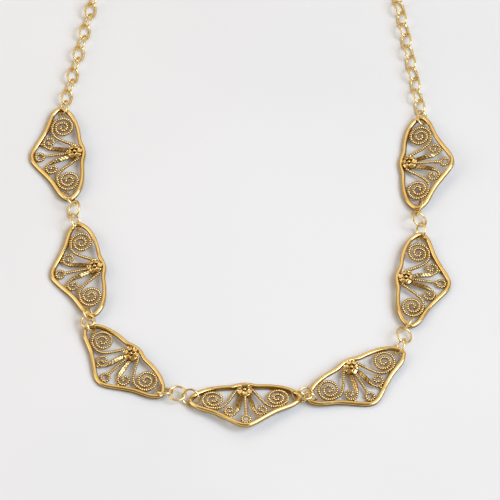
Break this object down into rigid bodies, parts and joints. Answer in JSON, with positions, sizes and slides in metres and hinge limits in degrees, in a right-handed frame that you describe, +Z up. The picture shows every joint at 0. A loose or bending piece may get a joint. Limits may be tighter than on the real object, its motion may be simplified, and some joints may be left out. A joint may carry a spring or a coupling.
{
  "type": "drapery necklace",
  "caption": "Gold drapery necklace: pierced filigree plaques with scrolls and rosettes, joined by jump rings and hung on an oval cable chain with a round clasp, laid open.",
  "frame": {"origin": "On the table, under the middle of the necklace's overall box.", "axes": "+X to the wearer's left, +Y from the plaques in front towards the clasp at the back of the neck, +Z up from the table. The necklace lies on its back."},
  "size_m": [0.0964, 0.1728, 0.0042],
  "materials": {
    "plaque_gold": "polished yellow gold band with fine milled scroll wire",
    "ring_gold": "polished yellow gold wire",
    "chain_gold": "polished yellow gold wire"
  },
  "bodies": {
    "root": {"plaque_1": "plaque_gold", "plaque_2": "plaque_gold", "plaque_3": "plaque_gold", "plaque_4": "plaque_gold", "plaque_5": "plaque_gold", "plaque_6": "plaque_gold", "plaque_7": "plaque_gold", "jump_ring_12_a": "ring_gold", "jump_ring_12_b": "ring_gold", "jump_ring_12_c": "ring_gold", "jump_ring_23_a": "ring_gold", "jump_ring_23_b": "ring_gold", "jump_ring_23_c": "ring_gold", "jump_ring_34_a": "ring_gold", "jump_ring_34_b": "ring_gold", "jump_ring_34_c": "ring_gold", "jump_ring_45_a": "ring_gold", "jump_ring_45_b": "ring_gold", "jump_ring_45_c": "ring_gold", "jump_ring_56_a": "ring_gold", "jump_ring_56_b": "ring_gold", "jump_ring_56_c": "ring_gold", "jump_ring_67_a": "ring_gold", "jump_ring_67_b": "ring_gold", "jump_ring_67_c": "ring_gold", "chain_left": "chain_gold", "chain_right": "chain_gold", "clasp": "chain_gold", "clasp_ring": "ring_gold"}
  },
  "joints": []
}
